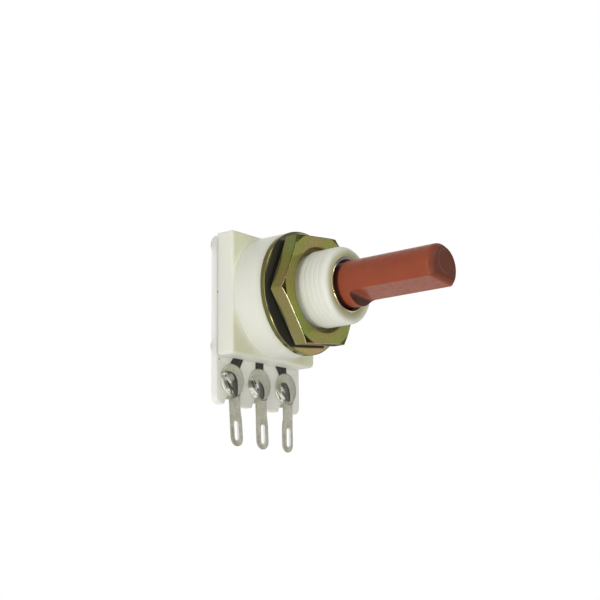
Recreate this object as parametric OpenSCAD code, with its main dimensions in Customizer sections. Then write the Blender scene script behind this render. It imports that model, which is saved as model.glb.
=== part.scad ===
// Panel-mount rotary potentiometer, 16 mm class, single gang, plastic D shaft.
// Origin: on the shaft axis, in the front face of the round boss that seats on
// the panel. The shaft points along -Y, +X is to the right as seen from the
// front, and the solder tags hang down along -Z. All sizes in millimetres.

/* [Shaft] */
// Diameter of the operating shaft
shaft_d = 6.0; // [5.5:0.05:6.2]
// Distance from the panel seat to the tip of the shaft
shaft_reach = 22.0; // [16:0.5:40]
// Distance from the shaft axis to the flat
flat_from_axis = 1.72; // [1.2:0.02:2.2]
// Distance from the panel seat to the wall where the flat ends
flat_end = 9.65; // [9.2:0.05:12]
// Fillet in the corner between the flat and its end wall
flat_fillet = 0.7; // [0.2:0.1:1.2]
// Turn of the shaft from mid-travel as drawn, clockwise from the front, degrees
rest_turn = 6.5; // [-20:0.5:20]

/* [Threaded bush] */
// Outside diameter of the bush over its thread
bush_d = 10.0; // [9.6:0.1:10.4]
// Pitch diameter of the thread, the plain size where nut and washer sit
bush_pitch_d = 9.52; // [9.4:0.02:9.56]
// Length of the bush in front of the panel seat
bush_len = 7.87; // [7.6:0.01:9]
// Where the full outside diameter starts in front of the nut
bush_free_from = 3.7; // [3.7:0.05:4.4]
// Wall of the metal sleeve in the mouth of the bush
sleeve_wall = 0.3; // [0.2:0.02:0.34]

/* [Housing] */
// Diameter of the round boss
boss_d = 16.3; // [15.4:0.1:16.3]
// Depth of the round boss
boss_depth = 4.45; // [4:0.05:5]
// Width of the square body behind the boss
body_w = 16.44; // [16.2:0.02:16.6]
// Top of the square body above the axis
body_top = 7.82; // [7.7:0.02:8.2]
// Bottom of the square body below the axis
body_bottom = 8.32; // [8.2:0.02:8.5]
// Rounding of the upright corners of the square body
body_corner = 0.8; // [0.3:0.1:1]
// Distance from the panel seat to the back of the square body
body_back = 7.2; // [7.2:0.05:7.2]
// Diameter of the round cavity for the wiper
cavity_d = 14.4; // [14.2:0.1:14.6]

/* [Back plate] */
// Width of the back plate
plate_w = 16.6; // [16.4:0.05:17]
// Thickness of the back plate
plate_t = 1.0; // [1:0.05:1]
// Bottom of the back plate below the axis
plate_bottom = 14.44; // [14.2:0.02:14.8]
// Rounding of the corners of the back plate
plate_corner = 1.1; // [0.4:0.1:1.6]

/* [Solder tags] */
// Distance between neighbouring tags
tag_pitch = 5.35; // [5:0.05:5.5]
// Width of a tag
tag_w = 2.2; // [2:0.05:2.4]
// Thickness of the tag strip
tag_t = 0.4; // [0.3:0.05:0.4]
// Bottom of the tags below the axis
tag_tip = 19.75; // [19.4:0.05:21]
// Width of the slot in a tag
tag_slot = 0.8; // [0.5:0.05:1]

/* [Nut and washer] */
// Width of the nut across its flats
nut_af = 14.0; // [13:0.1:14]
// Thickness of the nut
nut_t = 2.0; // [1.8:0.05:2.0]
// Distance from the panel seat to the rear face of the nut
nut_back = 1.6; // [1.3:0.05:1.6]
// Turn of the hexagon from a corner pointing straight left, degrees
nut_turn = 6.4; // [-30:0.2:30]
// Outside diameter of the washer
washer_d = 16.3; // [14:0.1:16.6]
// Thickness of the washer
washer_t = 0.74; // [0.5:0.02:1]

/* [Hidden] */
$fn = 96;

white_plastic = [0.85, 0.85, 0.81];
plate_white   = [0.92, 0.92, 0.90];
brown_plastic = [0.59, 0.29, 0.20];
yellow_plate  = [0.60, 0.58, 0.32];
dark_print    = [0.20, 0.20, 0.18];
tin_grey      = [0.64, 0.62, 0.57];
solder_grey   = [0.50, 0.50, 0.47];
bronze        = [0.72, 0.52, 0.28];
black_plastic = [0.15, 0.15, 0.16];

shaft_r    = shaft_d / 2;
bush_r     = bush_d / 2;
pitch_r    = bush_pitch_d / 2;
journal_r  = 3.25;                        // shaft bearing in the bush
bore_r     = journal_r + 0.05;            // running clearance 0.05 on the radius
sleeve_r   = bore_r + sleeve_wall;        // seat of the sleeve
sleeve_in  = 0.4;                         // inner end of the sleeve, in front of the seat
cavity_r   = cavity_d / 2;
floor_y    = 1.5;                         // floor of the cavity
print_t    = 0.05;                        // thickness of the printed layers
print_y    = body_back - print_t;         // front face of the printed layers
plate_back = body_back + plate_t;
track_in   = 5.2;                         // resistive track, inner and outer radius
track_out  = 6.6;
ring_in    = 2.7;                         // collector ring
ring_out   = 4.0;
pad_z      = -11.2;                       // centre height of the solder pads
notch_top  = 13.1;                        // top of the notches below the axis
stake_x    = 7.1;                         // stake pins of the housing
stake_top  = 6.5;
stake_low  = 7.0;
stop_half  = 17;                          // half angle of the fixed stop
lug_half   = 12.3;                        // half angle of the moving stop lug

// --- helpers -----------------------------------------------------------------

// body of revolution about the shaft axis; points are [radius, y]
module yrev(pts) rotate([90, 0, 0]) rotate_extrude() polygon([for (p = pts) [p[0], -p[1]]]);

// outline drawn in x and z, carried from y0 to y1
module yext(y0, y1) translate([0, y1, 0]) rotate([90, 0, 0]) linear_extrude(y1 - y0) children();

// outline drawn in y and z, carried from x0 to x1
module xext(x0, x1) translate([x0, 0, 0]) rotate([90, 0, 90]) linear_extrude(x1 - x0) children();

// outline drawn in x and y, carried from z0 to z1
module zext(z0, z1) translate([0, 0, z0]) linear_extrude(z1 - z0) children();

module ycyl(r, y0, y1, x = 0, z = 0)
    translate([x, y1, z]) rotate([90, 0, 0]) cylinder(r = r, h = y1 - y0);

function arc(cx, cy, r, a0, a1, n) =
    [for (i = [0:n]) [cx + r * cos(a0 + (a1 - a0) * i / n), cy + r * sin(a0 + (a1 - a0) * i / n)]];

// rectangle with round corners, as one closed outline
function round_rect(x0, x1, z0, z1, r, n = 8) = concat(
    arc(x1 - r, z1 - r, r, 0, 90, n), arc(x0 + r, z1 - r, r, 90, 180, n),
    arc(x0 + r, z0 + r, r, 180, 270, n), arc(x1 - r, z0 + r, r, 270, 360, n));

// ring segment between two radii and two angles, as one closed outline
function ring_seg(r0, r1, a0, a1, n) = concat(arc(0, 0, r1, a0, a1, n), arc(0, 0, r0, a1, a0, n));

// the rotating group is drawn with its flat straight down and then turned
module turned() rotate([0, rest_turn, 0]) children();

// --- housing: one white moulding with boss, bush, stop and stake pins ----------

module body_block()
    intersection() {
        yext(boss_depth - 0.3, body_back)
            polygon(round_rect(-body_w / 2, body_w / 2, -body_bottom, body_top, body_corner));
        // small chamfers along the four front edges
        xext(-10, 10) polygon([[boss_depth, -body_bottom + 0.25], [boss_depth + 0.25, -body_bottom - 1],
            [body_back, -body_bottom - 1], [body_back, body_top + 1],
            [boss_depth + 0.25, body_top + 1], [boss_depth + 0.25, body_top],
            [boss_depth, body_top - 0.25]]);
        zext(-12, 12) polygon([[-body_w / 2 + 0.25, boss_depth], [body_w / 2 - 0.25, boss_depth],
            [body_w / 2, boss_depth + 0.25], [body_w / 2 + 1, boss_depth + 0.25],
            [body_w / 2 + 1, body_back], [-body_w / 2 - 1, body_back],
            [-body_w / 2 - 1, boss_depth + 0.25], [-body_w / 2, boss_depth + 0.25]]);
    }

module housing()
    color(white_plastic) difference() {
        union() {
            // bush and boss, turned outline
            yrev([[0, boss_depth + 0.5], [boss_d / 2, boss_depth + 0.5], [boss_d / 2, 0.15],
                  [boss_d / 2 - 0.15, 0], [pitch_r, 0], [pitch_r, -bush_free_from],
                  [bush_r, -bush_free_from], [bush_r, -bush_len + 0.5],
                  [bush_r - 0.4, -bush_len], [0, -bush_len]]);
            body_block();
            // stake pins through the back plate, with their formed heads
            for (sx = [-1, 1], z = [stake_top, -stake_low]) {
                ycyl(0.8, body_back - 0.2, plate_back + 0.1, sx * stake_x, z);
                translate([sx * stake_x, 0, z])
                    yrev([[0, plate_back], [1.0, plate_back], [1.0, plate_back + 0.25],
                          [0.7, plate_back + 0.55], [0, plate_back + 0.55]]);
            }
        }
        // stepped bore: seat of the sleeve, then the rear bearing
        ycyl(sleeve_r, -bush_len - 1, -sleeve_in);
        ycyl(bore_r, -1, floor_y + 0.1);
        // round cavity, less the fixed stop at the bottom
        difference() {
            ycyl(cavity_r, floor_y, body_back + 0.01);
            yext(floor_y - 0.1, floor_y + 1.0)
                polygon(ring_seg(5.3, cavity_r + 0.3, -90 - stop_half, -90 + stop_half, 12));
        }
        // shallow reliefs over the printed conductors in the bottom wall
        for (r = [[-5.3, -3.05], [-0.95, 0.95], [3.15, 5.75]])
            translate([r[0], print_y - 0.1, -body_bottom - 1])
                cube([r[1] - r[0], 1, body_bottom - 3]);
    }

// --- sleeve pressed into the mouth of the bush ----------------------------------

module bush_sleeve()
    color(yellow_plate)
        yrev([[bore_r, -sleeve_in], [bore_r, -bush_len + 0.05], [bore_r + 0.07, -bush_len - 0.05],
              [sleeve_r - 0.06, -bush_len - 0.05], [sleeve_r, -bush_len + 0.02], [sleeve_r, -sleeve_in]]);

// --- shaft: one brown moulding ----------------------------------------------------

module shaft()
    color(brown_plastic) turned() difference() {
        yrev([[0, -shaft_reach], [shaft_r - 0.25, -shaft_reach], [shaft_r, -shaft_reach + 0.9],
              [shaft_r, -bush_len - 0.43], [shaft_r - 0.25, -bush_len - 0.43],
              [shaft_r - 0.25, -bush_len + 0.6], [journal_r, -bush_len + 0.6],
              [journal_r, floor_y + 0.1], [5.0, floor_y + 0.1], [5.0, floor_y + 1.1],
              [1.9, floor_y + 1.1], [1.9, 6.7], [0, 6.7]]);
        // the flat and its filleted end wall
        xext(-4, 4) polygon(concat(
            [[-shaft_reach - 1, -4], [-shaft_reach - 1, -flat_from_axis]],
            arc(-flat_end - flat_fillet, -flat_from_axis - flat_fillet, flat_fillet, 90, 0, 10),
            [[-flat_end, -4]]));
        // shallow gate mark in the tip
        ycyl(1.5, -shaft_reach - 1, -shaft_reach + 0.2, 0.35, 1.0);
        // two flats on the inner spigot, which drive the wiper carrier
        for (s = [-1, 1])
            translate([s > 0 ? 1.4 : -4.4, floor_y + 1.1, -3]) cube([3, 5, 6]);
    }

// --- wiper carrier: disc, hub and stop lug -----------------------------------------

module wiper_carrier()
    color(black_plastic) turned() difference() {
        union() {
            yrev([[0, 2.65], [6.6, 2.65], [6.8, 2.85], [6.8, 4.1], [6.6, 4.3],
                  [2.6, 4.3], [2.6, 6.6], [0, 6.6]]);
            yext(1.7, 2.8) polygon(ring_seg(5.3, 6.45, 90 - lug_half, 90 + lug_half, 8));
            for (z = [3.6, 5.1]) ycyl(0.35, 4.2, 4.8, -2.75, z);
        }
        intersection() {
            ycyl(1.93, 2.5, 6.8);
            translate([-1.43, 2.4, -3]) cube([2.86, 5, 6]);
        }
    }

// --- wiper spring: base riveted to the carrier, two sprung contact arms ------------

// one arm, seen edge on in x and y, z0 wide from its lower edge
module wiper_arm(z0)
    zext(z0, z0 + 0.5)
        polygon([[-2.4, 4.3], [-2.0, 4.3], [0.05, 6.9], [0.5, 6.6], [0.6, 6.72],
                 [0.08, 7.1], [-0.08, 7.1], [-2.15, 4.5], [-2.4, 4.5]]);

module wiper_spring()
    color(bronze) turned() difference() {
        union() {
            yext(4.3, 4.5) polygon([[-3.4, 3.0], [-2.1, 3.0], [-2.1, 5.75], [-3.4, 5.75]]);
            wiper_arm(3.1);
            wiper_arm(5.2);
        }
        for (z = [3.6, 5.1]) ycyl(0.4, 4.2, 4.8, -2.75, z);
    }

// --- back plate with its prints ------------------------------------------------------

module substrate()
    color(plate_white) difference() {
        yext(body_back, plate_back)
            polygon(round_rect(-plate_w / 2, plate_w / 2, -plate_bottom, body_top + 0.02, plate_corner));
        // trapezoid notches that the tags clip through
        for (k = [-1, 0, 1]) translate([k * tag_pitch, 0, 0])
            yext(body_back - 1, plate_back + 1)
                polygon([[-0.5, -notch_top], [0.5, -notch_top],
                         [1.6 + 0.6, -plate_bottom - 0.75], [-1.6 - 0.6, -plate_bottom - 0.75]]);
        for (sx = [-1, 1], z = [stake_top, -stake_low])
            ycyl(0.82, body_back - 1, plate_back + 1, sx * stake_x, z);
    }

module resistive_track()
    color(black_plastic)
        yext(print_y, body_back) polygon(ring_seg(track_in, track_out, -45, 225, 90));

module collector_ring()
    color(dark_print)
        yrev([[ring_in, print_y], [ring_out, print_y], [ring_out, body_back], [ring_in, body_back]]);

// side conductor from one end of the track to its pad
module side_conductor(pts, x)
    yext(print_y, body_back) union() {
        polygon(pts);
        translate([x, pad_z]) circle(r = 2.0);
    }

module left_conductor()
    color(dark_print) side_conductor([[-3.68, -3.68], [-4.67, -4.67], [-5.12, -5.6],
        [-5.12, -8.25], [-5.6, -8.8], [-5.9, -9.8], [-4.3, -10.2], [-3.85, -9.35],
        [-3.22, -8.2], [-3.22, -5.0]], -tag_pitch);

module right_conductor()
    color(dark_print) side_conductor([[3.3, -5.0], [3.35, -8.4], [4.0, -9.35], [4.2, -10.2],
        [5.9, -9.8], [5.55, -8.9], [5.4, -5.8], [4.67, -4.67], [3.68, -3.68]], tag_pitch);

module centre_conductor()
    color(dark_print) yext(print_y, body_back) union() {
        difference() {
            translate([-0.78, pad_z]) square([1.56, -pad_z - ring_out + 0.4]);
            circle(r = ring_out);
        }
        translate([0, pad_z]) circle(r = 2.0);
    }

// --- solder tags: bent strip, clipped through the notch of the plate ---------------

// lean is the tilt of the free tag towards the shaft, degrees
module terminal(lean)
    color(tin_grey) union() {
        // front arm on the pad, round at its top
        yext(print_y - tag_t, print_y)
            polygon(concat(arc(0, -9.9 - tag_w / 2, tag_w / 2, 0, 180, 16),
                           [[-tag_w / 2, -13.8], [tag_w / 2, -13.8]]));
        // free tag with a round end and a long slot
        translate([0, print_y - tag_t / 2, -13.6]) rotate([-lean, 0, 0])
            yext(-tag_t / 2, tag_t / 2) difference() {
                polygon(concat(arc(0, 13.6 - tag_tip + tag_w / 2, tag_w / 2, 180, 360, 16),
                               [[tag_w / 2, 0], [-tag_w / 2, 0]]));
                polygon(concat(arc(0, 13.6 - tag_tip + 1.1, tag_slot / 2, 180, 360, 8),
                               arc(0, -3.3, tag_slot / 2, 0, 180, 8)));
            }
        // bridge through the notch and arm behind the plate
        translate([-0.45, print_y - tag_t, -13.6]) cube([0.9, plate_t + 2 * tag_t + print_t, 0.45]);
        translate([-0.9, plate_back, -13.6]) cube([1.8, tag_t, 2.0]);
    }

module left_terminal() translate([-tag_pitch, 0, 0]) terminal(3.9);
module centre_terminal() terminal(2.1);
module right_terminal() translate([tag_pitch, 0, 0]) terminal(0.7);

// --- solder joints over the front arms --------------------------------------------

module solder(lean)
    color(solder_grey) difference() {
        intersection() {
            union() {
                // low cap over the whole pad: base radius 2.15, height 0.75
                translate([0, print_y - 0.75 + 3.457, pad_z]) sphere(r = 3.457);
                // fuller tongue that runs down the left of the arm
                translate([-0.35, print_y + 0.25, pad_z - 1.35]) scale(1) sphere(r = 1.05);
            }
            ycyl(2.6, print_y - 2, print_y, 0, pad_z - 0.1);
        }
        terminal(lean);
    }

module left_solder() translate([-tag_pitch, 0, 0]) solder(3.9);
module centre_solder() solder(2.1);
module right_solder() translate([tag_pitch, 0, 0]) solder(0.7);

// --- nut and washer -------------------------------------------------------------------

module hex_nut()
    color(yellow_plate) difference() {
        intersection() {
            yext(-nut_back - nut_t, -nut_back)
                polygon([for (k = [0:5]) nut_af / sqrt(3) *
                    [cos(180 + nut_turn + 60 * k), sin(180 + nut_turn + 60 * k)]]);
            // the front is chamfered to a circle, the rear only breaks its corners
            yrev([[0, -nut_back], [nut_af / 2 + 0.6, -nut_back], [nut_af / 2 + 1.4, -nut_back - 0.2],
                  [nut_af / 2 + 1.4, -nut_back - nut_t + 0.33],
                  [nut_af / 2 + 0.45, -nut_back - nut_t],
                  [0, -nut_back - nut_t]]);
        }
        ycyl(pitch_r + 0.04, -nut_back - nut_t - 1, -nut_back + 1);
        // countersinks of the thread, the front one wider
        yrev([[0, -nut_back + 0.1], [bush_r + 0.4, -nut_back + 0.1], [bush_r + 0.3, -nut_back],
              [pitch_r - 0.1, -nut_back - 0.64], [0, -nut_back - 0.64]]);
        yrev([[0, -nut_back - nut_t - 0.1], [bush_r + 0.7, -nut_back - nut_t - 0.1],
              [bush_r + 0.6, -nut_back - nut_t], [pitch_r - 0.1, -nut_back - nut_t + 0.94],
              [0, -nut_back - nut_t + 0.94]]);
    }

module washer()
    color(yellow_plate)
        yrev([[bush_r + 0.15, 0], [bush_r + 0.15, -washer_t], [washer_d / 2 - 0.08, -washer_t],
              [washer_d / 2, -washer_t + 0.08], [washer_d / 2, 0]]);

housing();
bush_sleeve();
shaft();
wiper_carrier();
wiper_spring();
substrate();
resistive_track();
collector_ring();
left_conductor();
centre_conductor();
right_conductor();
left_terminal();
centre_terminal();
right_terminal();
left_solder();
centre_solder();
right_solder();
hex_nut();
washer();
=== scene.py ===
import bpy, bmesh, math
from mathutils import Matrix, Vector, noise


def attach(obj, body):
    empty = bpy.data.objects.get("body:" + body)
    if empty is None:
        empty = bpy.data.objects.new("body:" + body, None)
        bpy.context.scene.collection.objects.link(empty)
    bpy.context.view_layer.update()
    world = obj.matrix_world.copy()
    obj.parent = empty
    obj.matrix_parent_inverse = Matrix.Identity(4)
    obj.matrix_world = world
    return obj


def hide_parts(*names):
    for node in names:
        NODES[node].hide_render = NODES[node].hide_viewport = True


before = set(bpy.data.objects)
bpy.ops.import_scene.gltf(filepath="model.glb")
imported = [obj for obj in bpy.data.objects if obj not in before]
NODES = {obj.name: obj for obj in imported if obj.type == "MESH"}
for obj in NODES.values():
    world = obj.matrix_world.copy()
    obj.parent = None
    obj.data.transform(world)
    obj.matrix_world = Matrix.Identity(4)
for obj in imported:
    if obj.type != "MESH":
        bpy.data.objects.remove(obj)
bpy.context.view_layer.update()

MM = 0.001

# ---------------------------------------------------------------------------
# small tools
# ---------------------------------------------------------------------------


def link(ob):
    bpy.context.scene.collection.objects.link(ob)
    return ob


def mesh_object(name, verts, faces, scale=MM):
    me = bpy.data.meshes.new(name)
    me.from_pydata([(x * scale, y * scale, z * scale) for x, y, z in verts], [], faces)
    me.validate()
    bm = bmesh.new()
    bm.from_mesh(me)
    bmesh.ops.remove_doubles(bm, verts=bm.verts, dist=1e-8)
    bmesh.ops.recalc_face_normals(bm, faces=bm.faces)
    bm.to_mesh(me)
    bm.free()
    return link(bpy.data.objects.new(name, me))


def loft(name, rings, cap_start=True, cap_end=True, closed_loop=False):
    """Closed rings of equal length, joined one to the next. Caps are single faces."""
    n = len(rings[0])
    verts = [p for ring in rings for p in ring]
    faces = []
    last = len(rings) if closed_loop else len(rings) - 1
    for i in range(last):
        a, b = i * n, ((i + 1) % len(rings)) * n
        for k in range(n):
            k2 = (k + 1) % n
            faces.append((a + k, a + k2, b + k2, b + k))
    if not closed_loop:
        if cap_start:
            faces.append(tuple(range(n)))
        if cap_end:
            base = (len(rings) - 1) * n
            faces.append(tuple(range(base + n - 1, base - 1, -1)))
    return mesh_object(name, verts, faces)


def revolve(name, profile, seg=192, closed_loop=False):
    """Profile of (radius, y) turned about the shaft axis."""
    rings = []
    for r, y in profile:
        rings.append([(r * math.cos(2 * math.pi * k / seg), y, r * math.sin(2 * math.pi * k / seg))
                      for k in range(seg)])
    return loft(name, rings, closed_loop=closed_loop)


def rounded(points, radii, steps=5, closed=False):
    """A polyline with its corners replaced by arcs. radii: one number per point."""
    out = []
    n = len(points)
    for i, p in enumerate(points):
        r = radii[i] if isinstance(radii, (list, tuple)) else radii
        if (not closed and i in (0, n - 1)) or r <= 0:
            out.append(p)
            continue
        a, b = Vector(points[(i - 1) % n]), Vector(points[(i + 1) % n])
        c = Vector(p)
        u, v = (a - c), (b - c)
        lu, lv = u.length, v.length
        u.normalize(); v.normalize()
        ang = u.angle(v)
        if ang > math.pi - 0.01:
            out.append(p)
            continue
        t = min(r / math.tan(ang / 2), lu * 0.49, lv * 0.49)
        rr = t * math.tan(ang / 2)
        centre = c + (u + v).normalized() * (rr / math.sin(ang / 2))
        s, e = c + u * t - centre, c + v * t - centre
        total = s.angle(e)
        sign = 1 if s.x * e.y - s.y * e.x > 0 else -1
        for k in range(steps + 1):
            th = sign * total * k / steps
            out.append((centre.x + s.x * math.cos(th) - s.y * math.sin(th),
                        centre.y + s.x * math.sin(th) + s.y * math.cos(th)))
    return out


def shade(ob, angle=32):
    me = ob.data
    me.shade_smooth()
    me.set_sharp_from_angle(angle=math.radians(angle))


def weighted(ob):
    m = ob.modifiers.new("weighted_normal", "WEIGHTED_NORMAL")
    m.keep_sharp = True
    m.weight = 60


def boolean(ob, other, op):
    m = ob.modifiers.new("cut", "BOOLEAN")
    m.object = other
    m.operation = op
    m.solver = "EXACT"
    dg = bpy.context.evaluated_depsgraph_get()
    me = bpy.data.meshes.new_from_object(ob.evaluated_get(dg))
    ob.modifiers.clear()
    old = ob.data
    ob.data = me
    bpy.data.meshes.remove(old)
    me2 = other.data
    bpy.data.objects.remove(other)
    bpy.data.meshes.remove(me2)
    return ob


def smoothmin(a, b, k):
    if k <= 0:
        return min(a, b)
    h = max(k - abs(a - b), 0.0) / k
    return min(a, b) - h * h * k * 0.25


def smoothmax(a, b, k):
    return -smoothmin(-a, -b, k)


def sstep(e0, e1, x):
    t = max(0.0, min(1.0, (x - e0) / (e1 - e0)))
    return t * t * (3 - 2 * t)


# ---------------------------------------------------------------------------
# camera: solved from the photograph
# ---------------------------------------------------------------------------


def make_camera():
    f, a, th, ro = 1318.278, math.radians(-51.146), math.radians(12.523), math.radians(-0.661)
    F = Vector((-math.sin(a) * math.cos(th), math.cos(a) * math.cos(th), math.sin(th)))
    R0 = Vector((math.cos(a), math.sin(a), 0.0))
    U0 = R0.cross(F)
    R = R0 * math.cos(ro) + U0 * math.sin(ro)
    U = -R0 * math.sin(ro) + U0 * math.cos(ro)
    C = Vector((-130.588, -105.039, -38.0215)) * MM
    cam = bpy.data.cameras.new("camera")
    cam.sensor_width = 36.0
    cam.lens = f / 600.0 * 36.0
    cam.clip_start, cam.clip_end = 0.005, 20.0
    ob = link(bpy.data.objects.new("camera", cam))
    m = Matrix((R, U, -F)).transposed().to_4x4()
    m.translation = C
    ob.matrix_world = m
    bpy.context.scene.camera = ob
    return F


VIEW = make_camera()

# ---------------------------------------------------------------------------
# materials
# ---------------------------------------------------------------------------


def srgb(r, g, b):
    def lin(c):
        c /= 255.0
        return c / 12.92 if c <= 0.04045 else ((c + 0.055) / 1.055) ** 2.4
    return (lin(r), lin(g), lin(b), 1.0)


class Mat:
    """A node material with a few short hands."""

    def __init__(self, name):
        self.m = bpy.data.materials.new(name)
        self.m.use_nodes = True
        self.t = self.m.node_tree
        self.n = self.t.nodes
        self.bsdf = self.n["Principled BSDF"]
        self.tc = self.n.new("ShaderNodeTexCoord")
        self.pos = self.tc.outputs["Object"]

    def set(self, **kw):
        for k, v in kw.items():
            self.bsdf.inputs[k.replace("_", " ")].default_value = v

    def link(self, a, b):
        self.t.links.new(a, b)

    def to(self, socket, name):
        self.link(socket, self.bsdf.inputs[name])

    def mapping(self, scale=(1, 1, 1), loc=(0, 0, 0), rot=(0, 0, 0), src=None):
        n = self.n.new("ShaderNodeMapping")
        n.inputs["Scale"].default_value = scale
        n.inputs["Location"].default_value = loc
        n.inputs["Rotation"].default_value = rot
        self.link(src or self.pos, n.inputs["Vector"])
        return n.outputs["Vector"]

    def noise(self, scale, detail=4.0, rough=0.55, vec=None, dist=0.0, out="Fac"):
        n = self.n.new("ShaderNodeTexNoise")
        n.inputs["Scale"].default_value = scale
        n.inputs["Detail"].default_value = detail
        n.inputs["Roughness"].default_value = rough
        n.inputs["Distortion"].default_value = dist
        self.link(vec or self.pos, n.inputs["Vector"])
        return n.outputs["Fac" if out == "Fac" else "Color"]

    def ramp(self, src, stops, mode="EASE"):
        n = self.n.new("ShaderNodeValToRGB")
        n.color_ramp.interpolation = mode
        el = n.color_ramp.elements
        while len(el) < len(stops):
            el.new(0.5)
        for e, (p, c) in zip(el, stops):
            e.position = p
            e.color = c if isinstance(c, (tuple, list)) else (c, c, c, 1.0)
        self.link(src, n.inputs["Fac"])
        return n.outputs["Color"]

    def math(self, op, a, b=None, c=None, clamp=False):
        n = self.n.new("ShaderNodeMath")
        n.operation = op
        n.use_clamp = clamp
        for i, v in enumerate((a, b, c)):
            if v is None:
                continue
            if isinstance(v, (int, float)):
                n.inputs[i].default_value = v
            else:
                self.link(v, n.inputs[i])
        return n.outputs[0]

    def remap(self, src, a, b, c=0.0, d=1.0, smooth=True):
        n = self.n.new("ShaderNodeMapRange")
        n.interpolation_type = "SMOOTHSTEP" if smooth else "LINEAR"
        n.inputs["From Min"].default_value = a
        n.inputs["From Max"].default_value = b
        n.inputs["To Min"].default_value = c
        n.inputs["To Max"].default_value = d
        self.link(src, n.inputs["Value"])
        return n.outputs["Result"]

    def mix(self, fac, a, b, blend="MIX"):
        n = self.n.new("ShaderNodeMix")
        n.data_type = "RGBA"
        n.blend_type = blend
        for sock, v in ((n.inputs["Factor"], fac), (n.inputs[6], a), (n.inputs[7], b)):
            if isinstance(v, (int, float)):
                sock.default_value = v
            elif isinstance(v, (tuple, list)):
                sock.default_value = v
            else:
                self.link(v, sock)
        return n.outputs[2]

    def xyz(self, src=None):
        n = self.n.new("ShaderNodeSeparateXYZ")
        self.link(src or self.pos, n.inputs[0])
        return n.outputs[0], n.outputs[1], n.outputs[2]

    def radius(self):
        x, _, z = self.xyz()
        return self.math("SQRT", self.math("ADD", self.math("MULTIPLY", x, x), self.math("MULTIPLY", z, z)))

    def bump(self, height, strength=0.2, distance=0.0001, normal=None):
        n = self.n.new("ShaderNodeBump")
        n.inputs["Strength"].default_value = strength
        n.inputs["Distance"].default_value = distance
        self.link(height, n.inputs["Height"])
        if normal is not None:
            self.link(normal, n.inputs["Normal"])
        return n.outputs["Normal"]


def spot(mat, centre, radius, soft=0.4):
    """1 inside a small ball round a point, 0 outside."""
    n = mat.n.new("ShaderNodeVectorMath")
    n.operation = "DISTANCE"
    mat.link(mat.pos, n.inputs[0])
    n.inputs[1].default_value = [c * MM for c in centre]
    return mat.remap(n.outputs["Value"], radius * (1 - soft) * MM, radius * MM, 1.0, 0.0)


def white_plastic():
    m = Mat("white_plastic")
    x, y, z = m.xyz()
    r = m.radius()
    base = (0.868, 0.878, 0.765, 1.0)
    # slow mottling of the resin, and faint flow streaks
    col = m.mix(m.ramp(m.noise(300, 3, 0.5), [(0.35, 0.0), (0.65, 1.0)]), base, (0.885, 0.892, 0.792, 1.0))
    # painted shade: a warm green-yellow darkening in the re-entrant corners beside the boss
    corner = m.math("MULTIPLY", m.remap(r, 8.0 * MM, 9.2 * MM), m.remap(y, 4.40 * MM, 4.75 * MM, 1.0, 0.0))
    col = m.mix(m.math("MULTIPLY", corner, 0.55), col, (0.68, 0.67, 0.38, 1.0))
    # painted reflected light of the gold parts, with painted shade: a green-yellow cast round the plated washer, and a
    # darker olive one round the plated sleeve in the mouth
    near_washer = m.math("MULTIPLY", m.remap(y, 0.0, 1.1 * MM, 1.0, 0.0), m.remap(y, -0.2 * MM, 0.0))
    col = m.mix(m.math("MULTIPLY", near_washer, 0.35), col, (0.70, 0.72, 0.48, 1.0))
    mouth = m.math("MULTIPLY", m.remap(r, 3.75 * MM, 4.85 * MM, 1.0, 0.0), m.remap(y, -7.2 * MM, -7.6 * MM))
    col = m.mix(m.math("MULTIPLY", mouth, 0.74), col, (0.50, 0.51, 0.19, 1.0))
    # two small dark specks of dirt on the left side of the body
    for c, rad in (((-8.27, 7.12, -0.02), 0.15), ((-4.0, 4.5, -8.32), 0.1)):
        col = m.mix(m.math("MULTIPLY", spot(m, c, rad), 0.75), col, (0.10, 0.10, 0.07, 1.0))
    m.to(col, "Base Color")
    m.set(Subsurface_Weight=0.60, Subsurface_Radius=(1.0, 1.0, 0.86), Subsurface_Scale=0.0012, IOR=1.49)
    m.to(m.remap(m.noise(900, 4, 0.6), 0.3, 0.7, 0.36, 0.50), "Roughness")
    fine = m.noise(5200, 3, 0.6)
    m.to(m.bump(fine, 0.10, 0.00003, m.bump(m.noise(420, 2, 0.5), 0.06, 0.0002)), "Normal")
    return m.m


def white_plate():
    m = Mat("white_plate")
    col = m.mix(m.ramp(m.noise(600, 4, 0.6), [(0.3, 0.0), (0.7, 1.0)]), (0.960, 0.960, 0.870, 1.0), (0.935, 0.935, 0.835, 1.0))
    # faint flux stain round the solder pads
    x, y, z = m.xyz()
    stain = m.math("MULTIPLY", m.remap(z, -13.9 * MM, -9.2 * MM, 1.0, 0.0), m.remap(y, 7.0 * MM, 7.3 * MM, 1.0, 0.0))
    stain = m.math("MULTIPLY", stain, m.ramp(m.noise(900, 4, 0.6), [(0.45, 0.0), (0.75, 1.0)]))
    col = m.mix(m.math("MULTIPLY", stain, 0.22), col, (0.60, 0.58, 0.46, 1.0))
    col = m.mix(m.math("MULTIPLY", spot(m, (-7.85, 7.2, -8.72), 0.15), 0.7), col, (0.12, 0.11, 0.08, 1.0))
    m.to(col, "Base Color")
    m.set(Subsurface_Weight=0.50, Subsurface_Radius=(1.0, 1.0, 0.96), Subsurface_Scale=0.0014, IOR=1.5)
    m.to(m.remap(m.noise(1500, 4, 0.6), 0.3, 0.7, 0.42, 0.58), "Roughness")
    m.to(m.bump(m.noise(7000, 4, 0.7), 0.14, 0.00003), "Normal")
    return m.m


MARK_X, MARK_Z, MARK_R = 0.05, 0.70, 1.38   # gate mark in the tip: centre and radius


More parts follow.
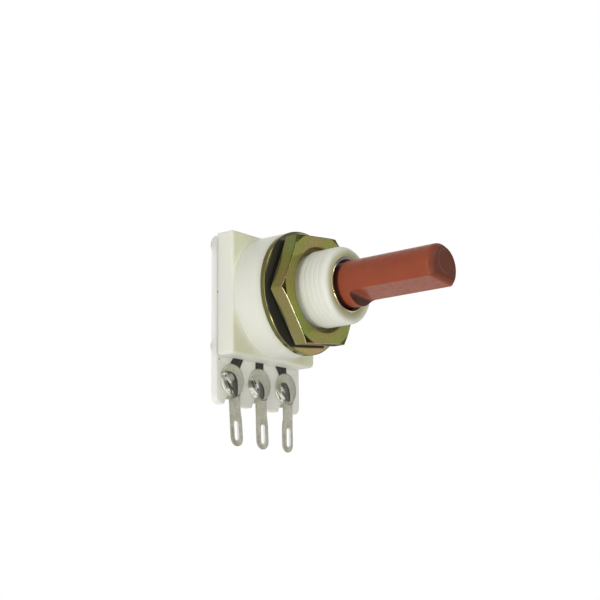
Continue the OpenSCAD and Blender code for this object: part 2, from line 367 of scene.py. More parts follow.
def brown_plastic():
    m = Mat("brown_plastic")
    n1 = m.ramp(m.noise(350, 4, 0.6), [(0.3, 0.0), (0.7, 1.0)])
    col = m.mix(n1, (0.345, 0.059, 0.015, 1.0), (0.305, 0.052, 0.013, 1.0))
    # painted shade: the end wall of the flat and the tip face are darkened
    x, y, z = m.xyz()
    nx, ny, nz = m.xyz(m.tc.outputs["Normal"])
    facing = m.remap(m.math("MULTIPLY", ny, -1.0), 0.25, 0.85)
    wall = m.math("MULTIPLY", facing, m.remap(y, -11.0 * MM, -10.6 * MM))
    col = m.mix(m.math("MULTIPLY", wall, 0.90), col, (0.060, 0.016, 0.010, 1.0))
    tip = m.math("MULTIPLY", m.remap(m.math("MULTIPLY", ny, -1.0), 0.50, 1.0), m.remap(y, -20.9 * MM, -21.4 * MM))
    col = m.mix(m.math("MULTIPLY", tip, 0.46), col, (0.060, 0.020, 0.010, 1.0))
    # painted shade: the round side darkens softly over the last millimetre
    last = m.remap(y, -21.55 * MM, -22.10 * MM)
    col = m.mix(m.math("MULTIPLY", last, 0.42), col, (0.070, 0.022, 0.012, 1.0))
    # painted highlight along the left side of the rim of the gate mark
    gx, gz = m.math("SUBTRACT", x, MARK_X * MM), m.math("SUBTRACT", z, MARK_Z * MM)
    q = m.math("SQRT", m.math("ADD", m.math("MULTIPLY", gx, gx), m.math("MULTIPLY", gz, gz)))
    q = m.math("ABSOLUTE", m.math("SUBTRACT", q, (MARK_R + 0.08) * MM))
    rim = m.math("MULTIPLY", m.remap(q, 0.17 * MM, 0.03 * MM), m.math("MULTIPLY", last, m.remap(gx, 0.6 * MM, -0.4 * MM)))
    col = m.mix(m.math("MULTIPLY", rim, 0.42), col, (0.30, 0.115, 0.065, 1.0))
    # painted shade on the neck in the mouth of the bush
    neck = m.math("MULTIPLY", m.remap(y, -8.36 * MM, -8.30 * MM), m.remap(y, -6.0 * MM, -6.6 * MM))
    col = m.mix(m.math("MULTIPLY", neck, 0.92), col, (0.035, 0.013, 0.017, 1.0))
    # painted reflection: the top of the neck is pale grey-purple
    upper = m.math("MULTIPLY", neck, m.remap(z, 1.9 * MM, 2.6 * MM))
    col = m.mix(m.math("MULTIPLY", upper, 0.9), col, (0.40, 0.31, 0.34, 1.0))
    # fine pale filler flecks in the moulding
    fl = m.ramp(m.noise(3800, 2, 0.5), [(0.62, 0.0), (0.74, 1.0)])
    col = m.mix(m.math("MULTIPLY", fl, 0.18), col, (0.50, 0.17, 0.09, 1.0))
    m.to(col, "Base Color")
    m.set(IOR=1.5, Subsurface_Weight=0.04, Subsurface_Radius=(1.0, 0.3, 0.15), Subsurface_Scale=0.0004)
    m.to(m.math("ADD", m.remap(m.noise(1400, 4, 0.6), 0.3, 0.7, 0.30, 0.42), m.math("MULTIPLY", last, 0.22)), "Roughness")
    # drag lines of the mould along the shaft, and a fine pebble
    drag = m.noise(1.0, 3, 0.6, vec=m.mapping(scale=(5200, 260, 5200)))
    m.to(m.bump(drag, 0.10, 0.00003, m.bump(m.noise(4200, 3, 0.6), 0.16, 0.00003)), "Normal")
    return m.m


def hex_edge(m, sx=0.0, sz=0.0):
    """Distance outside the outline of the nut, moved by (-sx, -sz)."""
    x, _, z = m.xyz()
    x, z = m.math("ADD", x, sx * MM), m.math("ADD", z, sz * MM)
    out = None
    for i in range(3):
        a = NUT_TURN + math.radians(30 + 60 * i)
        d = m.math("ABSOLUTE", m.math("ADD", m.math("MULTIPLY", x, math.cos(a)), m.math("MULTIPLY", z, math.sin(a))))
        out = d if out is None else m.math("MAXIMUM", out, d)
    return m.math("SUBTRACT", out, 7.0 * MM)


def yellow_plated(name, rough, bump, washer=False):
    """Zinc with a yellow chromate coat: olive, gold and pink drift with position."""
    m = Mat(name)
    warp = m.noise(210, 2, 0.5, out="Color")
    v = m.n.new("ShaderNodeVectorMath")
    v.operation = "MULTIPLY_ADD"
    m.link(warp, v.inputs[0])
    v.inputs[1].default_value = (0.003, 0.003, 0.003)
    m.link(m.pos, v.inputs[2])
    band = m.noise(185, 2, 0.5, vec=v.outputs[0])
    fine = m.noise(1500, 4, 0.6)
    mixed = m.math("ADD", m.math("MULTIPLY", band, 0.84), m.math("MULTIPLY", fine, 0.16))
    col = m.ramp(mixed, [
        (0.34, (0.43, 0.30, 0.13, 1.0)),
        (0.42, (0.38, 0.32, 0.09, 1.0)),
        (0.49, (0.34, 0.34, 0.08, 1.0)),
        (0.56, (0.32, 0.36, 0.09, 1.0)),
        (0.63, (0.32, 0.39, 0.14, 1.0)),
        (0.70, (0.38, 0.39, 0.15, 1.0)),
    ], "LINEAR")
    x, y, z = m.xyz()
    r = m.radius()
    # pinkish gold on the lower left sides of the nut
    low = m.math("MULTIPLY", m.remap(z, 0.5 * MM, -2.5 * MM), m.remap(r, 6.6 * MM, 7.05 * MM))
    low = m.math("MULTIPLY", low, m.remap(y, -3.55 * MM, -3.35 * MM))
    col = m.mix(m.math("MULTIPLY", low, 0.50), col, (0.50, 0.38, 0.20, 1.0))
    # red-brown stain round the thread of the nut
    stain = m.math("MULTIPLY", m.remap(r, 6.3 * MM, 5.4 * MM), m.remap(y, -3.3 * MM, -3.55 * MM))
    stain = m.math("MULTIPLY", stain, m.remap(m.noise(260, 2, 0.5), 0.35, 0.6))
    col = m.mix(m.math("MULTIPLY", stain, 0.75), col, (0.36, 0.20, 0.10, 1.0))
    # painted shade: the flat front face is made darker and greener
    nx, ny, nz = m.xyz(m.tc.outputs["Normal"])
    face = m.math("MULTIPLY", m.remap(m.math("ABSOLUTE", ny), 0.93, 0.98), m.remap(y, -3.40 * MM, -3.50 * MM))
    col = m.mix(m.math("MULTIPLY", face, 0.26), col, (0.20, 0.30, 0.09, 1.0))
    # orange patch low on the washer
    for c, rad, cc in (((2.2, -0.74, -6.9), 2.2, (0.52, 0.33, 0.17, 1.0)), ((-5.2, -0.74, -5.4), 1.6, (0.44, 0.36, 0.16, 1.0))):
        col = m.mix(m.math("MULTIPLY", spot(m, c, rad, 0.9), 0.8), col, cc)
    nut_shadow = None
    if washer:
        # painted shadow of the nut: the face is near black under the nut and in a band on its lower left, with a dark
        # olive painted shade on the upper left
        front = m.remap(y, -0.62 * MM, -0.70 * MM)
        under = m.math("MULTIPLY", m.remap(hex_edge(m, 1.07, 0.31), 0.06 * MM, -0.08 * MM), front)
        col = m.mix(m.math("MULTIPLY", under, 0.95), col, (0.036, 0.036, 0.039, 1.0))
        upper_left_shade = m.math("MULTIPLY", m.remap(x, -0.6 * MM, -2.4 * MM), m.remap(z, -0.8 * MM, 1.2 * MM))
        upper_left_shade = m.math("MULTIPLY", m.math("MULTIPLY", upper_left_shade, front), m.remap(r, 8.12 * MM, 8.02 * MM))
        upper_left_shade = m.math("MULTIPLY", upper_left_shade, m.math("SUBTRACT", 1.0, under))
        tint = m.mix(m.remap(m.noise(620, 3, 0.6), 0.35, 0.65), (0.085, 0.080, 0.045, 1.0), (0.150, 0.150, 0.075, 1.0))
        col = m.mix(m.math("MULTIPLY", upper_left_shade, 0.90), col, tint)
        nut_shadow = m.math("MAXIMUM", under, upper_left_shade)
    # fine grain of the coat
    grain = m.ramp(m.noise(4600, 3, 0.7), [(0.30, 0.0), (0.70, 1.0)])
    col = m.mix(m.math("MULTIPLY", grain, 0.20), col, (0.12, 0.11, 0.03, 1.0))
    # painted shade in the narrow gap behind the nut and round the front rim of the washer
    gap = m.math("MULTIPLY", m.remap(y, -1.75 * MM, -1.62 * MM), m.remap(y, -0.9 * MM, -1.3 * MM))
    col = m.mix(m.math("MULTIPLY", gap, 0.95), col, (0.13, 0.13, 0.13, 1.0))
    rim = m.math("MULTIPLY", m.remap(r, 8.02 * MM, 8.12 * MM), m.remap(y, -0.66 * MM, -0.55 * MM))
    col = m.mix(m.math("MULTIPLY", rim, 0.75), col, (0.19, 0.18, 0.07, 1.0))
    # painted light on the broken edges of the nut: a pale patchy highlight on the lower edges, a dark line of shade on
    # the upper ones
    edge_light_band = m.n.new("ShaderNodeAttribute")
    edge_light_band.attribute_name = "edge_light_band"
    low = m.remap(z, 0.9 * MM, -0.3 * MM)
    broken = m.ramp(m.noise(1100, 3, 0.7), [(0.38, 0.25), (0.60, 1.0)])
    painted_edge = m.math("MULTIPLY", edge_light_band.outputs["Fac"], m.math("MULTIPLY", low, broken))
    dark = m.math("MULTIPLY", edge_light_band.outputs["Fac"], m.math("SUBTRACT", 1.0, low))
    col = m.mix(m.math("MULTIPLY", dark, 0.85), col, (0.085, 0.060, 0.030, 1.0))
    col = m.mix(m.math("MULTIPLY", painted_edge, 0.66), col, (0.70, 0.57, 0.44, 1.0))
    m.to(col, "Base Color")
    if nut_shadow is not None:
        gap = m.math("MAXIMUM", gap, m.math("MULTIPLY", nut_shadow, 0.90))
    m.to(m.math("SUBTRACT", 1.0, m.math("MULTIPLY", gap, 0.95)), "Metallic")
    m.to(m.remap(m.noise(1900, 4, 0.6), 0.3, 0.7, rough, rough + 0.08), "Roughness")
    m.to(m.bump(m.noise(2300, 3, 0.6), bump, 0.00003), "Normal")
    return m.m


def sleeve_mat():
    """Pale gold plating of the sleeve, with painted shade and a painted pinkish grey reflection along its top."""
    m = Mat("yellow_plated_sleeve")
    x, y, z = m.xyz()
    col = m.mix(m.noise(900, 4, 0.6), (0.86, 0.76, 0.47, 1.0), (0.70, 0.62, 0.32, 1.0))
    # painted shade: the top of the sleeve turns grey-brown
    col = m.mix(m.remap(z, 0.6 * MM, 2.0 * MM), col, (0.33, 0.29, 0.25, 1.0))
    # painted reflection: pinkish grey, not metallic, on the upper inner wall
    inner = m.math("MULTIPLY", m.remap(z, 1.4 * MM, 2.2 * MM), m.remap(m.radius(), 3.48 * MM, 3.38 * MM))
    col = m.mix(inner, col, (0.60, 0.51, 0.55, 1.0))
    m.to(col, "Base Color")
    m.to(m.math("SUBTRACT", 1.0, m.math("MULTIPLY", inner, 0.9)), "Metallic")
    m.to(m.remap(m.noise(1900, 4, 0.6), 0.3, 0.7, 0.10, 0.18), "Roughness")
    m.to(m.bump(m.noise(2600, 3, 0.6), 0.02, 0.00003), "Normal")
    return m.m


def tinned():
    m = Mat("tinned_brass")
    n1 = m.ramp(m.noise(700, 5, 0.65), [(0.3, 0.0), (0.7, 1.0)])
    col = m.mix(n1, (0.90, 0.89, 0.76, 1.0), (0.70, 0.69, 0.57, 1.0))
    streak = m.noise(1.0, 4, 0.6, vec=m.mapping(scale=(1500, 1500, 2600)))
    col = m.mix(m.ramp(streak, [(0.35, 0.0), (0.75, 0.60)]), col, (0.60, 0.58, 0.45, 1.0))
    # the punched edges show darker, rougher metal
    nx, ny, nz = m.xyz(m.tc.outputs["Normal"])
    edge = m.remap(m.math("ABSOLUTE", ny), 0.75, 0.35)
    # but the walls of the slot carry a painted highlight, bright and not metallic
    x, y, z = m.xyz()
    ax = m.math("ABSOLUTE", x)
    off = m.math("MINIMUM", ax, m.math("ABSOLUTE", m.math("SUBTRACT", ax, 5.35 * MM)))
    wall = m.math("MULTIPLY", m.remap(off, 0.46 * MM, 0.43 * MM), m.remap(z, -15.6 * MM, -16.2 * MM))
    wall = m.math("MULTIPLY", wall, edge)
    wall = m.math("MULTIPLY", wall, m.remap(z, -19.2 * MM, -19.1 * MM))
    edge = m.math("MULTIPLY", edge, m.math("SUBTRACT", 1.0, wall))
    col = m.mix(m.math("MULTIPLY", edge, 0.42), col, (0.24, 0.225, 0.155, 1.0))
    col = m.mix(wall, col, (0.97, 0.97, 0.93, 1.0))
    m.to(col, "Base Color")
    m.to(m.math("SUBTRACT", 1.0, m.math("MULTIPLY", wall, 0.9)), "Metallic")
    m.to(m.remap(m.noise(2600, 4, 0.6), 0.3, 0.7, 0.30, 0.44), "Roughness")
    m.to(m.bump(streak, 0.12, 0.00003, m.bump(m.noise(1900, 4, 0.65), 0.25, 0.00004)), "Normal")
    return m.m


def solder_mat():
    """Dull tinned skin with the tongue of solder bright. Gloss, tone and rim are point attributes of the mesh; tone
    carries painted highlights and dark painted reflections, rim a painted shade line.
    """
    m = Mat("solder")

    def attr(name):
        a = m.n.new("ShaderNodeAttribute")
        a.attribute_name = name
        return a.outputs["Fac"]
    g, tone, rim = attr("gloss"), attr("tone"), attr("rim")
    matte = m.mix(m.ramp(m.noise(1300, 5, 0.7), [(0.3, 0.0), (0.7, 1.0)]), (0.70, 0.71, 0.60, 1.0), (0.84, 0.84, 0.73, 1.0))
    matte = m.mix(m.ramp(m.noise(5200, 3, 0.7), [(0.50, 0.0), (0.72, 0.45)]), matte, (0.40, 0.40, 0.32, 1.0))
    # painted shade: a dark line round the right rim of the disc
    matte = m.mix(m.math("MULTIPLY", rim, 0.75), matte, (0.20, 0.17, 0.10, 1.0))
    # painted light: tone runs from a dark painted reflection (0) through plain solder (0.5) to a white painted
    # highlight (1)
    bright = m.ramp(tone, [(0.0, (0.044, 0.042, 0.032, 1.0)), (0.5, (0.46, 0.46, 0.40, 1.0)), (1.0, (0.97, 0.96, 0.92, 1.0))], "LINEAR")
    col = m.mix(g, matte, bright)
    m.to(col, "Base Color")
    # the painted highlight is white and not metallic
    glint = m.math("MULTIPLY", g, m.remap(tone, 0.66, 0.92))
    m.to(m.math("SUBTRACT", 1.0, m.math("MULTIPLY", glint, 0.85)), "Metallic")
    shiny = m.remap(tone, 0.3, 1.0, 0.28, 0.13)
    dull = m.math("SUBTRACT", 1.0, g)
    m.to(m.math("ADD", m.math("MULTIPLY", shiny, g), m.math("MULTIPLY", dull, 0.44)), "Roughness")
    rest = m.math("SUBTRACT", 1.0, m.math("MULTIPLY", g, 0.9))
    m.to(m.bump(m.math("MULTIPLY", m.noise(1700, 4, 0.7), rest), 0.30, 0.00005), "Normal")
    return m.m


def print_mat(name, c0, c1, rough):
    m = Mat(name)
    col = m.mix(m.ramp(m.noise(1800, 4, 0.6), [(0.3, 0.0), (0.7, 1.0)]), c0, c1)
    m.to(col, "Base Color")
    m.to(m.remap(m.noise(2600, 4, 0.6), 0.3, 0.7, rough, rough + 0.12), "Roughness")
    m.to(m.bump(m.noise(5200, 4, 0.7), 0.2, 0.00003), "Normal")
    return m.m


def black_plastic():
    m = Mat("black_plastic")
    col = m.mix(m.noise(800, 4, 0.6), (0.018, 0.018, 0.020, 1.0), (0.028, 0.028, 0.030, 1.0))
    m.to(col, "Base Color")
    m.to(m.remap(m.noise(1600, 4, 0.6), 0.3, 0.7, 0.34, 0.48), "Roughness")
    m.to(m.bump(m.noise(4800, 3, 0.6), 0.15, 0.00003), "Normal")
    return m.m


def bronze_mat():
    m = Mat("bronze")
    col = m.mix(m.noise(900, 4, 0.6), (0.66, 0.40, 0.17, 1.0), (0.56, 0.33, 0.14, 1.0))
    m.to(col, "Base Color")
    m.set(Metallic=1.0)
    m.to(m.remap(m.noise(2600, 4, 0.6), 0.3, 0.7, 0.22, 0.34), "Roughness")
    m.to(m.bump(m.noise(1.0, 4, 0.6, vec=m.mapping(scale=(9000, 300, 9000))), 0.12, 0.00002), "Normal")
    return m.m


WHITE = white_plastic()
PLATE = white_plate()
BROWN = brown_plastic()
NUT_BACK, NUT_T, NUT_AF, NUT_TURN = 1.6, 2.0, 14.0, math.radians(6.4)
YELLOW = yellow_plated("yellow_plated_steel", 0.16, 0.030)
YELLOW_WASHER = yellow_plated("yellow_plated_washer", 0.055, 0.008, True)
GOLD = sleeve_mat()
TIN = tinned()
SOLDER = solder_mat()
BLACK = black_plastic()
BRONZE = bronze_mat()
DARK = print_mat("conductor_ink", (0.026, 0.025, 0.018, 1.0), (0.044, 0.043, 0.032, 1.0), 0.34)
CARBON = print_mat("resistive_ink", (0.012, 0.012, 0.012, 1.0), (0.020, 0.020, 0.020, 1.0), 0.45)


def finish_piece(ob, mat, body, slot, *nodes):
    ob.data.materials.clear()
    ob.data.materials.append(mat)
    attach(ob, body)
    if nodes:
        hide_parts(*nodes)
    return ob


def finish_node(name, mat):
    ob = NODES[name]
    if not ob.data.materials:
        ob.data.materials.append(mat)
    for i in range(len(ob.data.materials)):
        ob.data.materials[i] = mat


# ---------------------------------------------------------------------------
# housing: bush with its thread, boss, square body, stake pins
# ---------------------------------------------------------------------------

PITCH = 0.75


def rr_ring(x0, x1, z0, z1, r, y, n=8):
    pts = []
    ra, rb, rc, rd = r
    for cx, cz, a0, q in ((x1 - ra, z1 - ra, 0, ra), (x0 + rb, z1 - rb, 90, rb), (x0 + rc, z0 + rc, 180, rc),
                          (x1 - rd, z0 + rd, 270, rd)):
        for k in range(n + 1):
            a = math.radians(a0 + 90 * k / n)
            pts.append((cx + q * math.cos(a), y, cz + q * math.sin(a)))
    return pts


def block(name, x0, x1, z0, z1, r, y0, y1, e0, e1, steps=5):
    """Rounded slab from y0 to y1; its front edge is rounded by e0 and its rear edge by e1."""
    rings = []
    if not isinstance(r, tuple):
        r = (r, r, r, r)

    def less(d):
        return [max(q - d, 0.05) for q in r]
    for k in range(steps + 1):
        t = math.pi / 2 * k / steps
        d = e0 * (1 - math.sin(t))
        rings.append(rr_ring(x0 + d, x1 - d, z0 + d, z1 - d, less(d), y0 + e0 * (1 - math.cos(t))))
    for k in range(steps + 1):
        t = math.pi / 2 * k / steps
        d = e1 * (1 - math.cos(t))
        rings.append(rr_ring(x0 + d, x1 - d, z0 + d, z1 - d, less(d), y1 - e1 * (1 - math.sin(t))))
    return loft(name, rings)


def make_housing():
    # turned part: mouth, bush, boss. The bore is cut with it.
    seg = 192
    front = rounded([(3.6, -7.87), (5.0, -7.87), (5.0, -3.70)], [0, 0.62, 0], 9)
    front = front[:-1]
    rows = [(r, y) for r, y in front]
    y = -7.22
    thread_from = len(rows)
    while y < -3.71:
        rows.append((5.0, y))
        y += 0.045
    rows.append((5.0, -3.70))
    thread_to = len(rows)
    rows += [(4.76, -3.64), (4.76, -0.001)]
    rows += rounded([(4.76, 0.0), (8.15, 0.0), (8.15, 4.6), (5.0, 4.6)], [0, 0.14, 0, 0], 5)
    rows += [(3.3, 4.6), (3.3, -0.4), (3.6, -0.4)]
    rings = []
    for i, (r, yy) in enumerate(rows):
        ring = []
        for k in range(seg):
            ph = 2 * math.pi * k / seg
            rr = r
            if r > 4.9 and r <= 5.0 and yy < -3.65:
                # moulded thread: shallow round-bottomed groove that runs out at the mouth
                t = (yy / PITCH + ph / (2 * math.pi)) % 1.0
                groove = max(0.0, math.cos(2 * math.pi * (t - 0.5))) ** 1.2
                fade = sstep(-7.62, -7.10, yy)
                rr = r - 0.032 * groove * fade
            ring.append((rr * math.cos(ph), yy, rr * math.sin(ph)))
        rings.append(ring)
    ob = loft("housing_shell", rings, closed_loop=True)
    body = block("body", -8.27, 8.22, -8.32, 7.84, (0.8, 0.25, 0.30, 0.8), 4.45, 7.2, 0.30, 0.02)
    ob = boolean(ob, body, "UNION")
    # wiper cavity with the fixed stop left standing at the bottom
    cav = revolve("cavity", [(0.0005, 1.5), (7.2, 1.5), (7.2, 7.4), (0.0005, 7.4)], 144)
    stop = []
    for yy in (1.3, 2.5):
        a0, a1 = math.radians(-107), math.radians(-73)
        ring = [(7.6 * math.cos(a0 + (a1 - a0) * k / 16), yy, 7.6 * math.sin(a0 + (a1 - a0) * k / 16)) for k in range(17)]
        ring += [(5.3 * math.cos(a1 + (a0 - a1) * k / 16), yy, 5.3 * math.sin(a1 + (a0 - a1) * k / 16)) for k in range(17)]
        stop.append(ring)
    cav = boolean(cav, loft("stop", stop), "DIFFERENCE")
    ob = boolean(ob, cav, "DIFFERENCE")
    for x0, x1 in ((-5.3, -3.05), (-0.95, 0.95), (3.15, 5.75)):
        ob = boolean(ob, block("relief", x0, x1, -9.3, -6.0, 0.05, 7.05, 7.6, 0.02, 0.02, 1), "DIFFERENCE")
    # stake pins with their formed heads
    for sx in (-7.2, 7.2):
        for sz in (6.5, -7.0):
            prof = [(0.0004, 7.1), (0.80, 7.1), (0.80, 8.18), (1.1, 8.22)]
            for k in range(1, 9):
                t = math.pi / 2 * k / 8
                prof.append((max(1.1 * math.cos(t), 0.0004), 8.22 + 0.62 * math.sin(t)))
            pin = revolve("pin", prof, 40)
            for v in pin.data.vertices:
                v.co.x += sx * MM
                v.co.z += sz * MM
            ob = boolean(ob, pin, "UNION")
    shade(ob, 34)
    weighted(ob)
    return finish_piece(ob, WHITE, "body", "white_plastic", "housing")


# ---------------------------------------------------------------------------
# sleeve, shaft
# ---------------------------------------------------------------------------


def make_sleeve():
    prof = rounded([(3.3, -0.4), (3.3, -7.97), (3.6, -7.97), (3.6, -0.4)], [0, 0.12, 0.15, 0], 7)
    ob = revolve("sleeve_ring", prof, 160, closed_loop=True)
    shade(ob, 40)
    return finish_piece(ob, GOLD, "body", "yellow_plated_steel", "bush_sleeve")


FLAT_A = math.radians(-96.5)      # direction that the flat faces
FLAT_C = 1.72                     # distance of the flat from the axis
TIP_Y = -22.32
MARK = (MARK_X, MARK_Z, MARK_R)


def make_shaft():
    seg = 240
    # radius of the round part along y, from the tip back
    prof = []
    tip = rounded([(0.9, TIP_Y), (2.42, TIP_Y), (3.0, -21.66), (3.0, -19.0)], [0, 0.62, 0.55, 0], 12)
    rings = []

    def d_ring(rr, c, y, k):
        ring = []
        for i in range(seg):
            a = 2 * math.pi * i / seg
            ca = math.cos(a - FLAT_A)
            lim = c / ca if ca > 0.05 else 99.0
            r = smoothmin(rr, lim, k)
            ring.append((r * math.cos(a), y, r * math.sin(a)))
        return ring

    # tip face: shallow round gate mark set off the centre is cut by the heights
    first = tip[1][0] - 0.03
    base = d_ring(first, FLAT_C - 0.92 * (3.0 - first), TIP_Y, 0.10)
    for k in range(36):
        f = 0.02 + 0.96 * k / 35
        ring = []
        for x, y, z in base:
            x, z = x * f, z * f
            q = math.hypot(x - MARK[0], z - MARK[1])
            press = 0.055 * (1 - sstep(MARK[2] - 0.22, MARK[2], q)) - 0.018 * math.exp(-((q - MARK[2] - 0.10) / 0.11) ** 2)
            edge = 1.0 - sstep(0.93, 0.99, f)
            ring.append((x, y + press * edge, z))
        rings.append(ring)
    for r, y in tip[1:]:
        # the flat's own end edge is broken the same way as the round one
        rings.append(d_ring(r, FLAT_C - 0.92 * (3.0 - r), y, 0.16))
    y = -18.5
    while y < -10.5:
        rings.append(d_ring(3.0, FLAT_C, y, 0.16))
        y += 0.5
    # fillet up to the end wall of the flat, then the wall itself
    for k in range(0, 13):
        t = math.pi / 2 * k / 12
        rings.append(d_ring(3.0, FLAT_C + 0.7 * (1 - math.cos(t)), -10.35 + 0.7 * math.sin(t), 0.16))
    for c, yy in ((2.55, -9.648), (2.68, -9.645), (2.80, -9.635), (2.88, -9.615), (2.94, -9.585), (2.98, -9.545), (3.05, -9.49)):
        rings.append(d_ring(3.0, c, yy, 0.05))
    rings.append(d_ring(3.0, 9.0, -9.40, 0))
    for r, yy in rounded([(3.0, -9.0), (3.0, -8.33), (2.90, -8.33), (2.90, -6.70), (3.25, -6.70), (3.25, 1.6), (5.0, 1.6),
                          (5.0, 2.6), (1.9, 2.6), (1.9, 6.7), (0.02, 6.7)],
                         [0, 0.03, 0.02, 0.05, 0.05, 0.05, 0.12, 0.12, 0.05, 0.12, 0], 4):
        rings.append(d_ring(r, 9.0, yy, 0))
    ob = loft("shaft_body", rings)
    # cut the two drive flats of the spigot
    for s in (-1, 1):
        b = block("flat", -1.6, 1.6, -3, 3, 0.05, 2.62, 7.2, 0.02, 0.02, 1)
        for v in b.data.vertices:
            v.co.x += s * 3.0 * MM
        rot = Matrix.Rotation(math.radians(6.5), 4, "Y")
        b.data.transform(rot)
        ob = boolean(ob, b, "DIFFERENCE")
    shade(ob, 38)
    return finish_piece(ob, BROWN, "spindle", "brown_plastic", "shaft")


# ---------------------------------------------------------------------------
# nut and washer
# ---------------------------------------------------------------------------

def hex_radius(a, ap, k):
    """Radius of a hexagon with rounded corners in direction a. ap: distance of the flats."""
    best = None
    for i in range(6):
        n = NUT_TURN + math.radians(30 + 60 * i)
        c = math.cos(a - n)
        if c > 0.3:
            v = ap / c
            best = v if best is None else smoothmin(best, v, k)
    return best


def make_nut():
    seg = 720
    y0, y1 = -(NUT_BACK + NUT_T), -NUT_BACK
    slope = 0.347                # rise of the front chamfer
    rc = 7.40                    # radius where it starts
    rings, painted_edge = [], []
    dirs = [2 * math.pi * i / seg for i in range(seg)]
    hexr = [hex_radius(a, NUT_AF / 2, 0.05) for a in dirs]

    def circle(r, y):
        return [(r * math.cos(a), y, r * math.sin(a)) for a in dirs]

    # bore with its countersinks, front one first
    rings.append(circle(4.80, y0 + 0.85))
    for r, y in rounded([(4.80, y0 + 0.85), (5.62, y0), (7.0, y0)], [0, 0.10, 0], 4)[1:-1]:
        rings.append(circle(r, y))
    rings.append(circle(6.2, y0))
    rings.append(circle(6.75, y0))
    # chamfer: from the face out to the side, following the hexagon
    def front_y(r):
        # flat face, then the cone, blended over a small radius
        return smoothmax(y0, y0 + slope * (r - rc), 0.035)
    e = 0.11                     # break of the sharp edge between chamfer and side
    for k in range(0, 15):
        f = k / 14
        ring = []
        for a, h in zip(dirs, hexr):
            r = 6.85 + (h - e - 6.85) * f
            ring.append((r * math.cos(a), front_y(r), r * math.sin(a)))
        rings.append(ring)
    for fr, fy in ((-0.12, 0.0), (0.10, 0.05), (0.95, 0.90), (1.0, 1.15)):
        ring = []
        for a, h in zip(dirs, hexr):
            r = h - e * (1 - max(fr, 0.0)) + min(fr, 0.0) * e
            ring.append((r * math.cos(a), front_y(h - e) + e * fy, r * math.sin(a)))
        if 0.0 < fr < 1.0:
            painted_edge.append(len(rings))
        rings.append(ring)
    # side down to the rear edge
    for f in (0.35, 0.7):
        ring = []
        for a, h in zip(dirs, hexr):
            ya, yb = front_y(h - e) + 1.15 * e, y1 - 0.06
            ring.append((h * math.cos(a), ya + (yb - ya) * f, h * math.sin(a)))
        rings.append(ring)
    for k in range(0, 5):
        t = math.pi / 2 * k / 4
        ring = []
        for a, h in zip(dirs, hexr):
            r = h - 0.06 * (1 - math.cos(t))
            ring.append((r * math.cos(a), y1 - 0.06 * (1 - math.sin(t)), r * math.sin(a)))
        rings.append(ring)
    rings.append(circle(6.2, y1))
    for r, y in rounded([(6.2, y1), (5.32, y1), (4.80, y1 - 0.54), (4.80, y1 - 0.7)], [0, 0.08, 0.05, 0], 3)[1:]:
        rings.append(circle(r, y))
    ob = loft("nut_hex", rings, closed_loop=True)
    # mark the edge band that takes the painted highlight and shade
    marks = {(round(x, 4), round(y, 4), round(z, 4)) for k in painted_edge for x, y, z in rings[k]}
    at = ob.data.attributes.new("edge_light_band", "FLOAT", "POINT")
    at.data.foreach_set("value", [1.0 if (round(v.co.x / MM, 4), round(v.co.y / MM, 4), round(v.co.z / MM, 4)) in marks
                                  else 0.0 for v in ob.data.vertices])
    shade(ob, 40)
    return finish_piece(ob, YELLOW, "body", "yellow_plated_steel", "hex_nut")


def make_washer():
    prof = rounded([(5.15, 0.0), (5.15, -0.74), (8.15, -0.74), (8.15, 0.0)], [0.10, 0.14, 0.16, 0.06], 6, closed=True)
    ob = revolve("washer_ring", prof, 256, closed_loop=True)
    # blanked edge: very slightly wavy, as a punched rim is
    for v in ob.data.vertices:
        r = math.hypot(v.co.x, v.co.z)
        a = math.atan2(v.co.z, v.co.x)
        k = 1 + 0.0009 * math.sin(3 * a + 1.0) * sstep(6.5 * MM, 8.1 * MM, r)
        v.co.x *= k
        v.co.z *= k
    shade(ob, 40)
    return finish_piece(ob, YELLOW_WASHER, "body", "yellow_plated_steel", "washer")


# ---------------------------------------------------------------------------
# back plate, tags, solder
# ---------------------------------------------------------------------------

TAG_PITCH = 5.35
PAD_Z = -11.2
SIDES = (("left", -TAG_PITCH, 3.9), ("centre", 0.0, 2.1), ("right", TAG_PITCH, 0.7))


